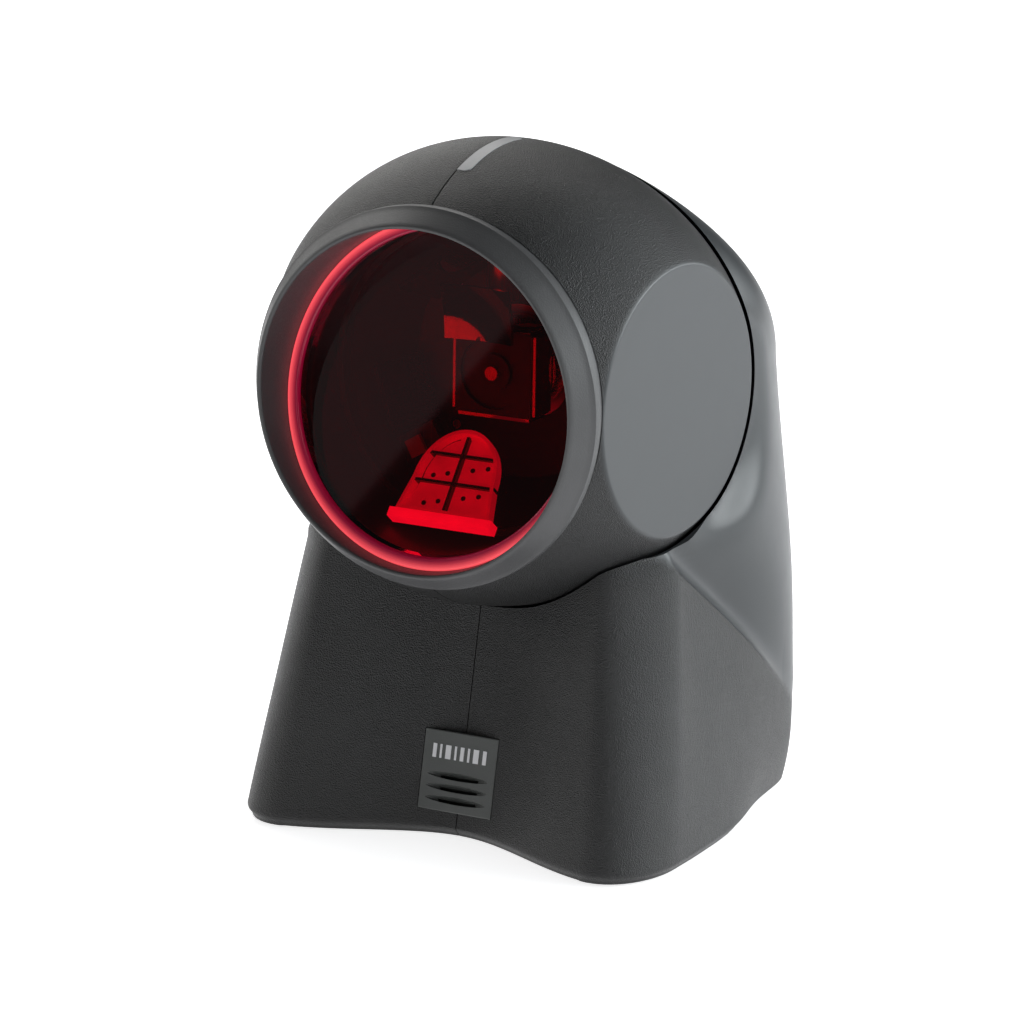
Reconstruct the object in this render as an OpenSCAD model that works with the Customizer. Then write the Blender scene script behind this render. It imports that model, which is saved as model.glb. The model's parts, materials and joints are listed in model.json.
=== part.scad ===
/* Omnidirectional presentation barcode scanner: a ball-shaped laser head that tilts in a hooded
   counter-top stand.  Millimetres.  +Z is up, -Y is the side the window faces, +X is the right-hand
   side seen from behind the counter.  The origin is on the counter, under the middle of the body. */

/* [Head] */
// Radius of the ball across the pivot axis
ball_r = 50.2; // [49.8:0.1:50.4]
// Half-length of the ball's ellipse along the pivot axis
ball_half_l = 53.2; // [53:0.1:53.6]
// Where the flat side discs cut the pivot axis
disc_x = 43.4; // [43.2:0.1:43.6]
// How much wider the ball gets per millimetre towards the back
ball_taper = 0.0023; // [0.0021:0.0001:0.0024]
// How far the discs' centres sit below the pivot axis
side_droop = 1.3; // [1:0.1:1.5]
// Height of the pivot axis above the counter
head_z = 100.6; // [100.2:0.1:101]
// Distance of the pivot axis from the middle of the body (negative is forward)
head_y = -13.5; // [-13.6:0.1:-13.4]
// Thickness of the head's shells
head_wall = 2.4; // [2.2:0.1:2.6]

/* [Window] */
// Outer radius of the bezel
bezel_r = 40.6; // [40.4:0.1:40.8]
// Radius of the bezel's bore
bezel_bore_r = 36.4; // [36.2:0.1:36.5]
// Distance of the bezel's lip in front of the pivot axis
lip_out = 37.5; // [37.2:0.1:37.8]
// Distance of the window's centre in front of the pivot axis
window_out = 25; // [24.8:0.1:25.2]
// How far the window leans back, in degrees
window_lean = 12; // [11:0.5:12.5]
// Thickness of the window
window_t = 2; // [1.8:0.1:2.2]

/* [Stand] */
// Half-width of the stand across its toes
toe_x = 52.4; // [52:0.1:52.8]
// Distance of the stand's back from the pivot axis
back_y = 64.5; // [64:0.1:65]
// Thickness of the stand's shells
stand_wall = 2.6; // [2.4:0.1:2.8]
// Height of the feet under the shells
foot_gap = 0.6; // [0.5:0.1:0.8]
// Gap along the seam between left and right shells
seam = 0.2; // [0.15:0.05:0.3]

/* [Tilt mechanism] */
// Radius of the pivot pins
pivot_r = 2.5; // [2.4:0.05:2.6]
// Radial clearance of the running fits
fit = 0.05; // [0.03:0.01:0.08]
// Direction of the neck below the ball, in degrees back from straight down
neck_angle = 32; // [31:0.5:33]
// Tilt each way from rest, in degrees
tilt = 15; // [12:1:15]

/* [Laser engine] */
// Number of pattern mirrors, counting the ribbed one
mirror_count = 5; // [5:1:5]
// Number of facets on the spinning mirror wheel
facets = 4; // [4:1:4]
// Radius of the motor shaft
shaft_r = 1.5; // [1.4:0.05:1.6]

/* [Hidden] */

$fn = 64;
big = 200;
disc_r = ball_r * sqrt(1 - pow(disc_x / ball_half_l, 2));

// ---------------------------------------------------------------- placing helpers

// Puts children in the head's frame: origin on the pivot axis, axes as the body's.
module at_head() { translate([0, head_y, head_z]) children(); }

// Turns +Z of the children to the way the window faces, with +Y up.
module facing_front() { at_head() rotate([90, 0, 0]) children(); }

// Turns -Z of the children down along the neck.
module along_neck() { at_head() rotate([neck_angle, 0, 0]) children(); }

module along_x() { rotate([0, 90, 0]) children(); }

module both_sides() {
    children();
    mirror([1, 0, 0]) children();
}

module tube(outer_r, inner_r, h) {
    difference() {
        cylinder(r = outer_r, h = h);
        translate([0, 0, -1]) cylinder(r = inner_r, h = h + 2);
    }
}

// A screw along +Z with its head below z = 0.
module screw(shank_r, shank_l, cap_r, cap_h) {
    cylinder(r = shank_r, h = shank_l, $fn = 24);
    translate([0, 0, -cap_h])
        difference() {
            cylinder(r = cap_r, h = cap_h, $fn = 32);
            translate([0, 0, -0.01]) cylinder(r = cap_r * 0.45, h = cap_h * 0.5, $fn = 6);
        }
}

// ---------------------------------------------------------------- lofted solids

function clamp01(t) = max(0, min(1, t));
function smooth(t) = let (s = clamp01(t)) s * s * (3 - 2 * s);
function mix(a, b, t) = a + (b - a) * t;
function bezier(a, b, c, d, t) =
    let (s = 1 - t) s * s * s * a + 3 * s * s * t * b + 3 * s * t * t * c + t * t * t * d;

// A closed solid through equal-length rings, each ring a counter-clockwise loop seen from above.
module loft(rings) {
    n = len(rings[0]);
    last = len(rings) - 1;
    points = [for (ring = rings) for (p = ring) p];
    sides = [
        for (k = [0 : last - 1])
            for (i = [0 : n - 1])
                let (j = (i + 1) % n)
                    for (face = [[k * n + i, (k + 1) * n + i, (k + 1) * n + j],
                                 [k * n + i, (k + 1) * n + j, k * n + j]])
                        face
    ];
    floor_cap = [for (i = [1 : n - 2]) [0, i, i + 1]];
    roof_cap = [for (i = [1 : n - 2]) [last * n, last * n + i + 1, last * n + i]];
    polyhedron(points = points, faces = concat(sides, floor_cap, roof_cap), convexity = 10);
}

// ---------------------------------------------------------------- head shapes

function taper(y) = 1 + ball_taper * y;

// Each side of the ball sits a little lower, the more so the nearer its disc.
function droop(x) = side_droop * pow(min(x, disc_x) / disc_x, 2);

// Right half of the ball, from the seam plane out to the flat disc, as rings along +X.
module half_ball(r, half_l, flat_x) {
    steps = 12;
    around = 48;
    last_angle = asin(flat_x / half_l);
    rings = [
        for (k = [0 : steps])
            let (a = last_angle * k / steps, x = half_l * sin(a), ring_r = r * cos(a))
                [for (i = [0 : around - 1])
                    let (b = 360 * i / around, y = ring_r * cos(b), z = ring_r * sin(b))
                        [x * taper(y), y, z - droop(x)]]
    ];
    loft(rings);
}

// The room that the right half of the ball turns in: its widest outline, swept about the pivot axis.
module ball_room(room) {
    steps = 14;
    around = 60;
    rings = [
        for (k = [0 : steps])
            let (a = mix(-5, 86, k / steps),
                 y = ball_r * cos(a),
                 x = (ball_half_l * taper(y) + room) * sin(a),
                 ring_r = y + room * cos(a))
                [for (i = [0 : around - 1])
                    let (b = 360 * (i + 0.5) / around) [x, ring_r * cos(b), ring_r * sin(b) - droop(x)]]
    ];
    loft(rings);
}

// The inside of the head: an ellipse turned about the pivot axis, cut flat along the two discs.
module head_hollow() {
    steps = 24;
    inner_r = ball_r - head_wall;
    inner_l = ball_half_l - head_wall;
    flat_x = disc_x - head_wall;
    toe = atan(flat_x * ball_taper);
    profile = [for (k = [0 : steps]) let (a = -90 + 180 * k / steps) [inner_r * cos(a), inner_l * sin(a)]];
    intersection() {
        along_x() rotate_extrude($fn = 96) polygon(profile);
        rotate([0, 0, -toe]) translate([-big + flat_x * cos(toe), -big / 2, -big / 2]) cube(big);
        rotate([0, 0, toe]) translate([-flat_x * cos(toe), -big / 2, -big / 2]) cube(big);
    }
}

// Where the three screws that join the head's shells run, as [y, z] from the pivot axis.
head_screw_places = [[12.5, 43.4], [-6.3, -44.8], [42.4, 15.7]];
head_boss_r = 3.2;
head_boss_x = 11;
boss_face_x = 38.3;
bush_r = 3.8;
bush_l = 2.6;
light_from = -19;
light_to = 4.6;
light_w = 2.9;

// Solid room that the light pipe takes in the right shell, with this much extra all round.
module light_pipe_room(extra) {
    at_head()
        intersection() {
            translate([seam / 2 - extra, light_from - extra, 30])
                cube([light_w + 2 * extra, light_to - light_from + 2 * extra, 40]);
            difference() {
                sphere(r = ball_r + 0.15 + extra, $fn = 96);
                sphere(r = ball_r - head_wall - 1, $fn = 96);
            }
        }
}

// The opening that the neck moves in as the head tilts.
module neck_slot() {
    half_w = 9.6;
    half_angle = tilt + asin(half_w / (ball_r - head_wall)) + 1;
    rotate([neck_angle, 0, 0])
        translate([-half_w, 0, 0]) along_x()
            linear_extrude(2 * half_w)
                polygon(concat([[0, 0]], [for (a = [-half_angle : half_angle / 6 : half_angle])
                                              [60 * cos(a), 60 * sin(a)]]));
}

module head_boss_pair(r, from_x, to_x) {
    for (place = head_screw_places)
        translate([from_x, place[0], place[1]]) along_x() cylinder(r = r, h = to_x - from_x, $fn = 32);
}

module head_shell_right_body(side) {
    at_head()
        difference() {
            union() {
                difference() {
                    half_ball(ball_r, ball_half_l, disc_x);
                    head_hollow();
                }
                translate([boss_face_x, 0, 0]) along_x() cylinder(r = 6, h = 3.6);
                intersection() {
                    head_boss_pair(head_boss_r, 0, head_boss_x);
                    sphere(r = ball_r - 1);
                }
            }
            translate([-1, -big / 2, -big / 2]) cube([1 + seam / 2, big, big]);
            rotate([90, 0, 0]) cylinder(r = bezel_r - 0.25, h = big);
            difference() {
                neck_slot();
                along_x() cylinder(r = 30, h = big, center = true);
            }
            translate([boss_face_x - 1, 0, 0]) along_x() cylinder(r = bush_r, h = bush_l + 1);
            head_boss_pair(side > 0 ? 1.0 : 1.3, 0, head_boss_x + 1);
            if (side < 0) head_boss_pair(2.4, head_boss_x, 60);
        }
}

module head_shell_right() {
    color("dimgray")
        difference() {
            head_shell_right_body(1);
            light_pipe_room(0.1);
        }
}

module head_shell_left() { color("dimgray") mirror([1, 0, 0]) head_shell_right_body(-1); }

module head_screws() {
    color("silver")
        at_head()
            for (place = head_screw_places)
                translate([-head_boss_x, place[0], place[1]]) along_x() screw(1.0, 2 * head_boss_x - 2, 2, 1.2);
}

module pivot_bushes() {
    color("ivory")
        at_head() both_sides()
            translate([boss_face_x, 0, 0]) along_x() tube(bush_r, pivot_r + fit, bush_l);
}

module light_pipe() { color("lightgray") light_pipe_room(0); }

module indicator_board() {
    color("darkgreen") at_head() translate([-4, -16, 42.6]) cube([8, 14, 1]);
}

module indicator_leds() {
    color("aliceblue")
        at_head()
            for (y = [-13, -5])
                translate([0.6, y - 0.8, 43.6]) cube([2, 1.6, 0.9]);
}

// ---------------------------------------------------------------- window and bezel

// Half-space behind the plane this far in front of the window's front face.
module behind_window(offset) {
    translate([0, 0, window_out])
        rotate([-window_lean, 0, 0])
            translate([-big / 2, -big / 2, offset - big]) cube(big);
}

module window_bezel() {
    body_r = bezel_r - 0.4;
    face_start = 32.6;
    color("dimgray")
        facing_front()
            rotate_extrude($fn = 128)
                polygon([
                    [bezel_bore_r, 10], [body_r, 10], [body_r, 30.2], [bezel_r, 30.2],
                    [bezel_r, face_start - 0.2], [bezel_r - 0.2, face_start],
                    [bezel_bore_r + 0.9, lip_out - 0.3], [bezel_bore_r + 0.5, lip_out],
                    [bezel_bore_r + 0.2, lip_out - 0.1], [bezel_bore_r, lip_out - 0.5]
                ]);
}

module window() {
    pane_r = bezel_bore_r - 0.1;
    rim_w = 2.7;
    rim_h = 1.2;
    color("darkred")
        facing_front()
            difference() {
                intersection() {
                    translate([0, 0, 5]) cylinder(r = pane_r, h = 40, $fn = 128);
                    behind_window(rim_h);
                }
                behind_window(-window_t);
                difference() {
                    cylinder(r = pane_r - rim_w, h = 60, $fn = 128);
                    behind_window(0);
                }
            }
}

// ---------------------------------------------------------------- optics

chassis_front_z = 10;
chassis_back_z = -12;
cone_top_r = 34.2;
cone_back_r = 27;
board_z = -14.4;
board_t = 1.6;

module optics_chassis() {
    wall = 1.8;
    color("black")
        facing_front()
            difference() {
                union() {
                    difference() {
                        rotate_extrude($fn = 96)
                            polygon([
                                [33.9, chassis_front_z - 3], [cone_top_r, chassis_front_z - 3],
                                [bezel_bore_r - 0.15, chassis_front_z + 0.5],
                                [bezel_bore_r - 0.15, 35], [33.9, 35]
                            ]);
                        translate([0, 0, window_out])
                            rotate([-window_lean, 0, 0])
                                translate([-big / 2, -big / 2, -window_t]) cube(big);
                    }
                    rotate_extrude($fn = 96)
                        polygon([
                            [cone_back_r, chassis_back_z], [cone_top_r, chassis_front_z - 3],
                            [cone_top_r, chassis_front_z], [cone_top_r - wall, chassis_front_z],
                            [cone_top_r - wall, chassis_front_z - 3], [cone_back_r - wall, chassis_back_z + 2],
                            [12.9, chassis_back_z + 2], [12.9, chassis_back_z]
                        ]);
                }
                for (a = [45 : 90 : 315])
                    rotate([0, 0, a]) translate([22, 0, chassis_back_z - 1]) cylinder(r = 1.3, h = 4, $fn = 24);
            }
}

module chassis_screws() {
    color("silver")
        facing_front()
            for (a = [45 : 90 : 315])
                rotate([0, 0, a]) translate([22, 0, board_z - board_t]) screw(1.0, 5.6, 2, 1.1);
}

// Flat mirrors around the wheel; the ribbed one takes the place at the bottom of the ring.
module pattern_mirrors() {
    color("silver")
        facing_front()
            for (i = [1 : mirror_count - 1])
                rotate([0, 0, 270 + 360 / mirror_count * i])
                    translate([23.8, 0, -1]) rotate([0, 22, 0]) cube([1.2, 15, 13], center = true);
}

holder_tilt = 52;
holder_x = -1;
holder_y = -20.5;
holder_z = 14;
holder_w = 11.3;
holder_h = 20;
holder_arch = 8.2;
cross_ribs = [7, 13.6];

// Outline of the holder: straight foot, sides leaning in, round top.
function holder_outline(inset) =
    concat([[-(holder_w - inset), inset], [holder_w - inset, inset]],
           [for (a = [0 : 15 : 180])
               [(holder_w - 1.6 - inset) * cos(a),
                holder_arch + (holder_h - holder_arch - inset) * sin(a)]]);

module on_holder() {
    facing_front()
        translate([holder_x, holder_y, holder_z]) rotate([holder_tilt - 90, 0, 0])
            translate([0, -holder_h / 2, 0]) children();
}

module ribbed_mirror_holder() {
    plate_t = 1.6;
    rib_h = 0.9;
    rib_w = 0.7;
    color("firebrick")
        on_holder() {
            linear_extrude(plate_t) polygon(holder_outline(0));
            translate([0, 0, plate_t])
                linear_extrude(rib_h) {
                    difference() {
                        polygon(holder_outline(0));
                        polygon(holder_outline(rib_w));
                    }
                    intersection() {
                        polygon(holder_outline(rib_w / 2));
                        union() {
                            translate([-rib_w / 2, 0]) square([rib_w, holder_h]);
                            for (y = cross_ribs) translate([-holder_w, y]) square([2 * holder_w, rib_w]);
                        }
                    }
                }
            for (x = [-5.6, 5.6])
                for (y = cross_ribs)
                    translate([x, y - 3.2, plate_t]) cylinder(r = 0.8, h = 0.3, $fn = 24);
        }
}

module holder_ledge() {
    color("red") on_holder() translate([-holder_w - 1, -2.2, -0.4]) cube([2 * holder_w + 2, 2.1, 3.4]);
}

module collector_mirror() {
    color("silver")
        facing_front()
            translate([0, 8, 38])
                intersection() {
                    difference() {
                        sphere(r = 31.2, $fn = 96);
                        sphere(r = 30, $fn = 96);
                    }
                    translate([-8, 0, -34]) cube([16, 12, 12]);
                }
}

module laser_axis() { facing_front() translate([0, 0, -2]) rotate([-90, 0, 0]) children(); }

module laser_barrel() { color("goldenrod") laser_axis() translate([0, 0, 15.5]) tube(3.4, 2.2, 11.5); }

module laser_lens() { color("aliceblue") laser_axis() translate([0, 0, 17]) cylinder(r = 2.2, h = 1.5); }

detector_place = [-16, -17, 4];

module detector_board() {
    color("darkgreen") facing_front() translate(detector_place) rotate([0, 0, 30]) cube([10, 7, 1.2], center = true);
}

module detector_filter() {
    color("indianred") facing_front() translate(detector_place) rotate([0, 0, 30]) translate([-3, -2, 0.6]) cube([4, 4, 1]);
}

module main_board() {
    color("darkgreen")
        facing_front()
            translate([0, 0, board_z - board_t])
                difference() {
                    cylinder(r = 29, h = board_t);
                    for (a = [45 : 90 : 315])
                        rotate([0, 0, a]) translate([22, 0, -1]) cylinder(r = 1.1, h = board_t + 2, $fn = 24);
                }
}

// Places and sizes of the chips, as [x, y, width, height], on the back of the main board.
chip_places = [[-7, 6.6, 12, 12], [10, 10, 9, 7], [9, -4, 7, 7], [-12, -7, 6, 9], [0, 19, 8, 5]];

module main_board_chips() {
    color("black")
        facing_front()
            for (c = chip_places)
                translate([c[0] - c[2] / 2, c[1] - c[3] / 2, board_z - board_t - 1.5]) cube([c[2], c[3], 1.5]);
}

module cable_connector() {
    color("ivory") facing_front() translate([-6, -23, board_z - board_t - 5]) cube([12, 5, 5]);
}

// ---------------------------------------------------------------- motor and mirror wheel

wheel_flat = 10;
wheel_h = 8;
cup_front_z = -6;

module motor_base() {
    color("silver") facing_front() translate([0, 0, board_z]) tube(12.5, 3.6, 2.2);
}

module motor_bearing() {
    color("goldenrod") facing_front() translate([0, 0, board_z]) tube(3.6, shaft_r + fit, 7);
}

module motor_stator() {
    color("peru") facing_front() translate([0, 0, board_z + 2.2]) tube(9.0, 3.8, 4.4);
}

module rotor_cup() {
    color("dimgray")
        facing_front()
            rotate_extrude($fn = 96)
                polygon([[shaft_r, cup_front_z - 1], [9.5, cup_front_z - 1], [9.5, -11.4], [10.8, -11.4],
                         [10.8, cup_front_z], [shaft_r, cup_front_z]]);
}

module mirror_wheel() {
    core = wheel_flat - 0.8;
    color("black")
        facing_front()
            translate([0, 0, cup_front_z])
                difference() {
                    linear_extrude(wheel_h) square(2 * core, center = true);
                    translate([0, 0, -1]) cylinder(r = shaft_r, h = wheel_h + 2);
                    translate([0, 0, wheel_h - 1]) tube(8, 4, 2);
                }
}

module wheel_mirrors() {
    color("silver")
        facing_front()
            for (i = [0 : facets - 1])
                rotate([0, 0, 360 / facets * i])
                    translate([wheel_flat - 0.8, -8.6, cup_front_z + 0.4]) cube([0.8, 17.2, wheel_h - 0.8]);
}

module motor_shaft() {
    color("silver") facing_front() translate([0, 0, board_z + 0.2]) cylinder(r = shaft_r, h = wheel_h + 9.2);
}

// ---------------------------------------------------------------- tilt bracket and neck

bracket_r = 45.6;
bracket_t = 1.5;
bracket_x = 37.4;
bracket_w = 9;
neck_r = 9;
cable_r = 4.2;
dish_r = 51.4;
dish_t = 2.6;
neck_screw_x = 6.5;

module tilt_bracket() {
    inner_r = bracket_r - bracket_t;
    inner_x = bracket_x - bracket_t;
    color("lightsteelblue")
        along_neck()
            difference() {
                union() {
                    rotate([90, 0, 0])
                        linear_extrude(bracket_w, center = true)
                            difference() {
                                intersection() {
                                    circle(r = bracket_r, $fn = 128);
                                    translate([-bracket_x, -big]) square([2 * bracket_x, big]);
                                }
                                intersection() {
                                    circle(r = inner_r, $fn = 128);
                                    translate([-inner_x, -big]) square([2 * inner_x, 2 * big]);
                                }
                            }
                    both_sides() translate([inner_x, 0, 0]) along_x() cylinder(r = 5.6, h = bracket_t);
                }
                along_x() cylinder(r = pivot_r, h = big, center = true);
                translate([0, 0, -60]) cylinder(r = cable_r, h = 30);
                for (x = [-neck_screw_x, neck_screw_x]) translate([x, 0, -60]) cylinder(r = 1.2, h = 30, $fn = 24);
            }
}

module bracket_screws() {
    color("silver")
        along_neck()
            for (x = [-neck_screw_x, neck_screw_x])
                translate([x, 0, -43.1]) rotate([180, 0, 0]) screw(1.2, 9, 1.9, 1.2);
}

module pivot_pins() {
    head_h = 1.4;
    color("silver")
        at_head() both_sides() {
            translate([bracket_x - bracket_t - head_h, 0, 0]) along_x() cylinder(r = 4, h = head_h);
            translate([bracket_x - bracket_t, 0, 0]) along_x() cylinder(r = pivot_r, h = bracket_t + 3.2);
        }
}

module friction_washers() {
    color("white")
        at_head() both_sides()
            translate([bracket_x, 0, 0]) along_x() tube(5.2, pivot_r, boss_face_x - bracket_x - 0.2);
}

// Where the neck frame's posts stand, as [x, y] on the ballast.
post_places = [[-13, 8], [13, 8], [-13, 22], [13, 22]];
plate_bottom = foot_gap + 0.2;
plate_t = 2;
plate_top = plate_bottom + plate_t;
ballast_t = 5;
ballast_top = plate_top + ballast_t;

module neck_frame() {
    color("slategray")
        difference() {
            union() {
                along_neck() {
                    difference() {
                        intersection() {
                            sphere(r = dish_r + dish_t, $fn = 128);
                            translate([0, 0, -70]) cylinder(r = 21.5, h = 60);
                        }
                        sphere(r = dish_r, $fn = 128);
                    }
                    difference() {
                        translate([0, 0, -(dish_r + 1)]) cylinder(r = neck_r, h = dish_r + 1 - bracket_r + 2);
                        rotate([90, 0, 0]) cylinder(r = bracket_r, h = big, center = true, $fn = 128);
                    }
                }
                difference() {
                    for (p = post_places)
                        translate([p[0], p[1], ballast_top]) cylinder(r = 4, h = 60);
                    at_head() sphere(r = dish_r + 1, $fn = 128);
                    translate([-big / 2, -big / 2, 72]) cube(big);
                }
            }
            along_neck() {
                translate([0, 0, -60]) cylinder(r = cable_r, h = 30);
                for (x = [-neck_screw_x, neck_screw_x]) translate([x, 0, -52.1]) cylinder(r = 1.2, h = 20, $fn = 24);
            }
            for (p = post_places)
                translate([p[0], p[1], ballast_top - 1]) cylinder(r = 1.5, h = 12, $fn = 24);
        }
}

module neck_screws() {
    color("silver")
        for (p = post_places)
            translate([p[0], p[1], plate_bottom + 1.4]) screw(1.5, ballast_top - plate_bottom + 8, 3, 1.2);
}

// ---------------------------------------------------------------- stand shape

// Height above the counter is h; x and y are measured from the pivot axis.
lip_h = 2;
lip_in = 1.5;
wing_cut = -34.5;

function front_mid(h) = -16 + 0.21 * max(0, h - lip_h);
function crease(h) = [37.4 - 0.085 * h, -29.6 + 0.236 * h];
function panel_rise(t) = 0.5 * (1 - cos(180 * t)) / 2 + 0.5 * (sqrt(t * t + 0.0625) - 0.25) / 0.7808;

// Half-width, depth and squareness of the rear column; it domes over above the pivot axis.
column_w = 48.3;
column_d = 61;
dome_h = 48;

function column_x(h) =
    let (z = h - head_z) z < 0 ? column_w + 5.4 * clamp01(-z / 75) : column_w * sqrt(max(0, 1 - pow(z / dome_h, 2.15)));
function column_y(h) =
    let (z = h - head_z)
        z < 0 ? mix(column_d, back_y, clamp01(-z / 75)) : column_d * sqrt(max(0, 1 - pow(z / dome_h, 2.0)));
function squareness(h) = let (z = h - head_z) z < 0 ? 4 + 0.6 * smooth(-z / 50) : 4 - 2 * smooth(z / 45);
function column_side(y, h) =
    let (n = squareness(h)) column_x(h) * pow(max(0, 1 - pow(clamp01(y / column_y(h)), n)), 1 / n);

// The flared wing under each side, down to the foot, and the ridge along its top.
function soft_min(a, b) = pow(pow(a, -30) + pow(b, -30), -1 / 30);
function wing_lean(y) = mix(0.12, -0.04, smooth((y + 2) / 50));
function wing_side(y, h) =
    let (foot_x = toe_x - 0.9 * smooth((y + 5) / 25) - 4.4 * smooth((y - 8) / 46))
        soft_min(foot_x - wing_lean(y) * h, column_side(y, h));
function ridge_h(y) = 61 - 0.78 * y;
function ridge_y(h) = (61 - h) / 0.78;
function shelf(y) = 4 * smooth((52 - y) / 36);

function step_in(over) = (1 - pow(1 - clamp01(over / 7), 2)) * exp(-pow(over / 20, 2));

// The hood dips beside the head's disc until it is flush with it, and the foot's rear corners tuck in.
function disc_dip(y, h, x) =
    let (beyond = norm([y, h + foot_gap - head_z + side_droop]) - disc_r)
        max(0, x - disc_x * taper(y)) * (1 - smooth(beyond / 9)) * smooth(y / 8);
function foot_tuck(y, h) = 2.2 * smooth((y - 15) / 25) * pow(1 - clamp01(h / 16), 2);

function hood_side(y, h) =
    let (top = ridge_h(y), over = h - top)
        column_side(y, h) - (column_side(y, top) - wing_side(y, top)) * exp(-pow(over / 16, 2))
            - shelf(y) * step_in(over);

function side_x(y, h) =
    let (over = h - ridge_h(y), x = over <= 0 ? wing_side(y, h) : hood_side(y, h))
        x - disc_dip(y, h, x) * smooth(over / 5) - foot_tuck(y, h);

panel_steps = 8;
toe_steps = 6;
wing_steps = 5;
hood_steps = 6;
back_steps = 9;

// Half an outline at height h, from the middle of the front round to the middle of the back.
function half_outline(h, inset) =
    let (cut = inset + lip_in * (1 - smooth(h / lip_h)),
         c = crease(min(h, 66)),
         rear_y = column_y(h),
         side_from = -11 + 0.17 * min(h, 66),
         side_to = rear_y * 0.72,
         side_mid = max(side_from + 2, min(side_to - 2, ridge_y(h))),
         toe = [side_x(side_from, h), side_from],
         slope = side_x(side_from + 1, h) - toe[0],
         full = mix(0.58, 0.3, clamp01(h / 64)),
         n = squareness(h),
         corner_angle = acos(pow(max(0, 1 - pow(0.72, n)), 0.5)))
        concat(
            [for (i = [0 : panel_steps - 1])
                let (t = i / panel_steps)
                    [c[0] * t, mix(front_mid(min(h, 66)), c[1], panel_rise(t)) + cut]],
            [for (i = [0 : toe_steps - 1])
                let (t = i / toe_steps,
                     p = bezier(c, c + [full * (toe[0] - c[0]), -1.2], toe - [slope, 1] * full * (toe[1] - c[1]), toe, t),
                     turn = 90 * (0.25 + 0.75 * t))
                    [p[0] - cut * sin(turn), p[1] + cut * cos(turn)]],
            [for (i = [0 : wing_steps - 1])
                let (y = mix(side_from, side_mid, i / wing_steps)) [side_x(y, h) - cut, y]],
            [for (i = [0 : hood_steps - 1])
                let (y = mix(side_mid, side_to, i / hood_steps)) [side_x(y, h) - cut, y]],
            [for (i = [0 : back_steps])
                let (a = mix(corner_angle, 90, i / back_steps),
                     y = rear_y * pow(sin(a), 2 / n),
                     turn = 90 * i / back_steps)
                    [i < back_steps ? max(0, side_x(y, h) - cut * cos(turn)) : 0, y - cut * sin(turn)]]
        );

// Right half of the stand's outer shape, or of its hollow if inset is more than zero.
module half_column(heights, inset) {
    translate([0, head_y, 0])
        loft([for (h = heights) [for (p = half_outline(h, inset)) [p[0], p[1], h + foot_gap]]]);
}

outer_heights = [0, 1, 2, for (h = [6 : 4 : 62]) h, for (h = [67 : 5 : 132]) h, 136, 140, 143, 145.5];
inner_heights = [-1, 8, 16, 24, 32, 40, 46, 52, 58, 64, 70, 78, 86];

// Side view of the air that the head looks out through, between the wings and the hood.
module hood_opening() {
    disc_gap_r = disc_r + 0.5;
    at_head()
        translate([-big / 2, 0, -side_droop]) rotate([90, 0, 90])
            linear_extrude(big)
                polygon(concat(
                    [[-90, 61], [11, 61], [12.5, 44], [17, 32], [20, 25]],
                    [for (a = [40 : -10 : -50]) [disc_gap_r * cos(a), disc_gap_r * sin(a)]],
                    [[13, -27], [7, -30], [1, wing_cut + side_droop], [-90, wing_cut + side_droop]]
                ));
}

stand_screw_places = [[45.6, 24], [44.6, 70], [-15.6, 42]];
stand_head_r = 2.5;
stand_head_h = 1.5;
stand_boss_x = 12;
plate_screw_places = [[44.6, -16], [39.25, 32.6]];
plate_boss_r = 4.8;
sound_hole_z = 14.4;
jack_w = 15.6;
jack_h = 13;
jack_l = 14;
jack_face_y = 50.2;
jack_z = 3.4;

module stand_screw_lines(r, from_x, to_x) {
    for (place = stand_screw_places)
        translate([from_x, place[0], place[1]]) along_x() cylinder(r = r, h = to_x - from_x, $fn = 32);
}

module stand_shell_body(side) {
    difference() {
        union() {
            difference() {
                half_column(outer_heights, 0);
                half_column(inner_heights, stand_wall);
            }
            intersection() {
                union() {
                    stand_screw_lines(3.4, 0, stand_boss_x);
                    for (p = plate_screw_places)
                        translate([p[0], p[1], plate_top]) cylinder(r = plate_boss_r, h = 11, $fn = 32);
                }
                half_column([2, 20, 40, 60, 80], 0.6);
            }
        }
        translate([-1, -big / 2, -1]) cube([1 + seam / 2, big, big]);
        at_head() ball_room(0.55);
        hood_opening();
        stand_screw_lines(side > 0 ? 1.25 : 1.6, 0, stand_boss_x + 1);
        if (side < 0)
            stand_screw_lines(stand_head_r + 0.25, stand_boss_x - 0.05, stand_boss_x + stand_head_h + 0.25);
        for (p = plate_screw_places)
            translate([p[0], p[1], plate_top - 1]) cylinder(r = 1.25, h = 10, $fn = 24);
        badge_pocket();
        translate([0, -40, sound_hole_z]) rotate([-90, 0, 0]) cylinder(r = 6.5, h = 20);
        translate([-1, 40, -1]) cube([1 + jack_w / 2 + 0.3, 20, jack_z + jack_h + 1.3]);
    }
}

module stand_shell_right() { color("dimgray") stand_shell_body(1); }
module stand_shell_left() { color("dimgray") mirror([1, 0, 0]) stand_shell_body(-1); }

module stand_screws() {
    color("silver")
        for (place = stand_screw_places)
            translate([-stand_boss_x, place[0], place[1]])
                along_x() screw(1.25, 2 * stand_boss_x - 3, stand_head_r, stand_head_h);
}

// ---------------------------------------------------------------- base

insert_places = [[-26, -12], [26, -12]];
insert_r = 3;
insert_bore_r = 1.65;
insert_l = 6;
foot_r = 5;
foot_places = [[-40, -30], [40, -30], [-31, 36], [31, 36]];
pcb_z = 9;
pcb_t = 1.6;
pcb_x = 21;
pcb_y = [-16.4, 2.6];
pcb_screw_places = [[-18, -6], [18, -6]];

function full_outline(h, inset) =
    let (half = half_outline(h, inset), n = len(half))
        concat([for (p = half) [p[0], p[1] + head_y]],
               [for (i = [n - 2 : -1 : 1]) [-half[i][0], half[i][1] + head_y]]);

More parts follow.
